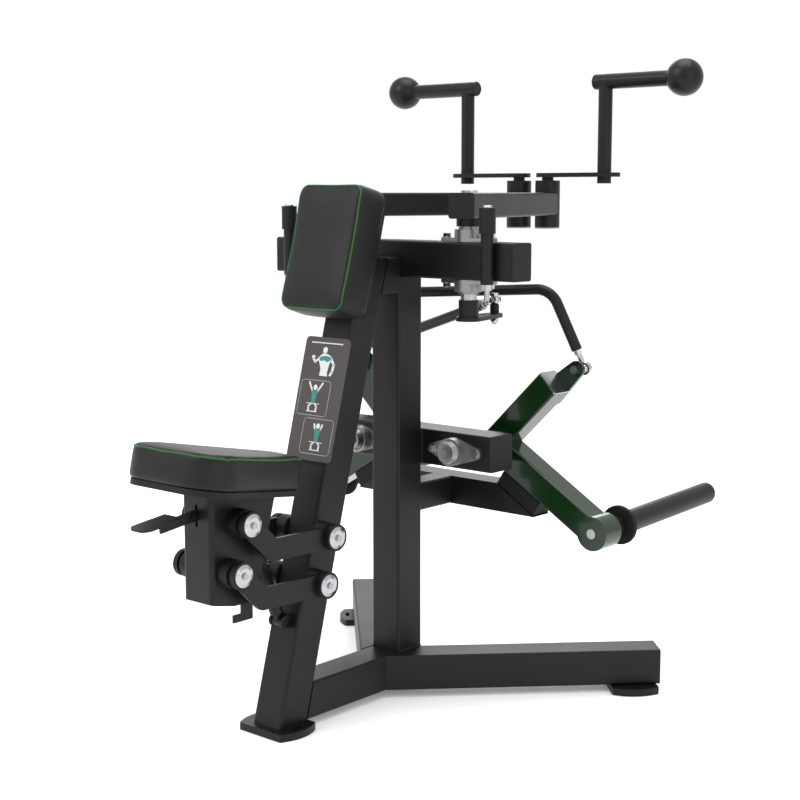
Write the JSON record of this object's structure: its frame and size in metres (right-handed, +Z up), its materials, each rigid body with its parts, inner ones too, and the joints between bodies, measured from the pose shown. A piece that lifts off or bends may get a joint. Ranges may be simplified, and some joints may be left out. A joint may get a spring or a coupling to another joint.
{
  "type": "shoulder press machine",
  "caption": "Chest-supported plate-loaded press machine: padded post and seat in front, outward-swinging upright-axis handle arms linked by crossing rods to weight arms behind.",
  "frame": {"origin": "on the floor, in the middle of the machine's plan", "axes": "+Z up, +Y the way the user faces, +X the user's right"},
  "size_m": [0.973, 1.408, 1.423],
  "materials": {
    "black_paint": "satin powder coat",
    "green_paint": "gloss",
    "steel": "zinc plated",
    "cap_plastic": "matte",
    "grip_plastic": "matte",
    "rubber": "matte",
    "placard": "satin",
    "board": "painted black",
    "vinyl": "smooth black vinyl with green piping"
  },
  "bodies": {
    "base": {"base_beam": "black_paint", "rear_leg_right": "black_paint", "rear_leg_left": "black_paint", "column": "black_paint", "front_post": "black_paint", "post_brace": "black_paint", "upper_crossbeam": "black_paint", "mid_crossbeam": "black_paint", "back_beam": "black_paint", "stop_crossbeam": "black_paint", "stop_bumpers": "rubber", "tube_end_caps": "cap_plastic", "front_foot": "black_paint", "rear_feet": "black_paint", "shaft_bearings": "steel", "pivot_bearings": "steel", "frame_bolts": "steel", "stop_posts": "black_paint", "stop_sleeves": "rubber", "placard": "placard", "pad_board": "board", "chest_pad": "vinyl", "post_link_pins": "steel", "spring_bracket": "black_paint"},
    "press_arm_right": {"press_shaft_right": "black_paint", "press_arm_right": "black_paint", "arm_caps_right": "cap_plastic", "crank_right": "black_paint", "crank_bolt_right": "steel"},
    "handle_right": {"handle_frame_right": "black_paint", "handle_grip_right": "grip_plastic"},
    "link_ball_right": {"link_ball_right": "steel"},
    "link_rod_right": {"link_rod_right": "black_paint"},
    "weight_arm_right": {"weight_arm_right": "green_paint", "weight_arm_fittings_right": "steel", "weight_horn_right": "black_paint", "horn_collar_right": "rubber"},
    "press_arm_left": {"press_shaft_left": "black_paint", "press_arm_left": "black_paint", "arm_caps_left": "cap_plastic", "crank_left": "black_paint", "crank_bolt_left": "steel"},
    "handle_left": {"handle_frame_left": "black_paint", "handle_grip_left": "grip_plastic"},
    "link_ball_left": {"link_ball_left": "steel"},
    "link_rod_left": {"link_rod_left": "black_paint"},
    "weight_arm_left": {"weight_arm_left": "green_paint", "weight_arm_fittings_left": "steel", "weight_horn_left": "black_paint", "horn_collar_left": "rubber"},
    "upper_links": {"upper_links": "black_paint"},
    "lower_links": {"lower_links": "black_paint"},
    "seat": {"seat_housing": "black_paint", "seat_board": "board", "seat_pad": "vinyl", "seat_link_pins": "steel"},
    "seat_lever": {"seat_lever": "black_paint"},
    "gas_cylinder": {"gas_cylinder": "black_paint"},
    "gas_rod": {"gas_rod": "steel"}
  },
  "joints": [
    {"name": "press_arm_right", "type": "hinge", "parent": "base", "child": "press_arm_right", "pos_m": [0.204, 0.043, 0.9], "axis": [0, 0, -1], "range_deg": [0, 106]},
    {"name": "handle_right", "type": "hinge", "parent": "press_arm_right", "child": "handle_right", "pos_m": [0.04314, 0.5501, 1.156], "axis": [0, 0, 1], "range_deg": [-75, 75]},
    {"name": "link_yaw_right", "type": "hinge", "parent": "press_arm_right", "child": "link_ball_right", "pos_m": [0.18297, 0.16104, 0.889], "axis": [0, 0, 1], "range_deg": [0, 92.22]},
    {"name": "link_pitch_right", "type": "hinge", "parent": "link_ball_right", "child": "link_rod_right", "pos_m": [0.18297, 0.16104, 0.889], "axis": [0.2616, 0.9652, 0], "range_deg": [0, 8.9]},
    {"name": "weight_arm_right", "type": "hinge", "parent": "base", "child": "weight_arm_right", "pos_m": [0.1403, 0.233, 0.558], "axis": [0, -1, 0], "range_deg": [0, 43.86]},
    {"name": "press_arm_left", "type": "hinge", "parent": "base", "child": "press_arm_left", "pos_m": [-0.204, 0.043, 0.9], "axis": [0, 0, 1], "range_deg": [0, 106]},
    {"name": "handle_left", "type": "hinge", "parent": "press_arm_left", "child": "handle_left", "pos_m": [-0.04314, 0.5501, 1.156], "axis": [0, 0, -1], "range_deg": [-75, 75]},
    {"name": "link_yaw_left", "type": "hinge", "parent": "press_arm_left", "child": "link_ball_left", "pos_m": [-0.18297, 0.16104, 0.889], "axis": [0, 0, -1], "range_deg": [0, 92.22]},
    {"name": "link_pitch_left", "type": "hinge", "parent": "link_ball_left", "child": "link_rod_left", "pos_m": [-0.18297, 0.16104, 0.889], "axis": [0.2616, -0.9652, 0], "range_deg": [0, 8.9]},
    {"name": "weight_arm_left", "type": "hinge", "parent": "base", "child": "weight_arm_left", "pos_m": [-0.1403, 0.233, 0.558], "axis": [0, 1, 0], "range_deg": [0, 43.86]},
    {"name": "seat_lift", "type": "hinge", "parent": "base", "child": "upper_links", "pos_m": [0, -0.247, 0.4115], "axis": [-1, 0, 0], "range_deg": [-24, 10]},
    {"name": "lower_link_swing", "type": "hinge", "parent": "base", "child": "lower_links", "pos_m": [0, -0.2725, 0.3145], "axis": [-1, 0, 0], "range_deg": [-24.2, 10.2]},
    {"name": "seat_level", "type": "hinge", "parent": "upper_links", "child": "seat", "pos_m": [0, -0.48586, 0.47819], "axis": [-1, 0, 0], "range_deg": [-10.2, 24.2]},
    {"name": "gas_spring_tilt", "type": "hinge", "parent": "base", "child": "gas_cylinder", "pos_m": [0, -0.331, 0.235], "axis": [-1, 0, 0], "range_deg": [-12.78, 5.5]},
    {"name": "gas_spring_stroke", "type": "slide", "parent": "gas_cylinder", "child": "gas_rod", "axis": [0, -0.3695, 0.9292], "range_m": [-0.08729, 0.03695]},
    {"name": "seat_lever_pull", "type": "hinge", "parent": "seat", "child": "seat_lever", "pos_m": [0, -0.528, 0.511], "axis": [-1, 0, 0], "range_deg": [0, 12], "stiffness_Nm_per_rad": 4, "springref_deg": -8.59}
  ],
  "couplings": [
    {"joint": "weight_arm_right", "follows": "press_arm_left", "ratio": 0.41091},
    {"joint": "link_yaw_right", "follows": "press_arm_right", "ratio": 0.86528},
    {"joint": "link_pitch_right", "follows": "press_arm_right", "ratio": 0.08109},
    {"joint": "weight_arm_left", "follows": "press_arm_right", "ratio": 0.41091},
    {"joint": "link_yaw_left", "follows": "press_arm_left", "ratio": 0.86528},
    {"joint": "link_pitch_left", "follows": "press_arm_left", "ratio": 0.08109},
    {"joint": "lower_link_swing", "follows": "seat_lift", "ratio": 1},
    {"joint": "seat_level", "follows": "seat_lift", "ratio": -1},
    {"joint": "gas_spring_tilt", "follows": "seat_lift", "ratio": 0.52},
    {"joint": "gas_spring_stroke", "follows": "seat_lift", "m_per_rad": 0.206}
  ]
}
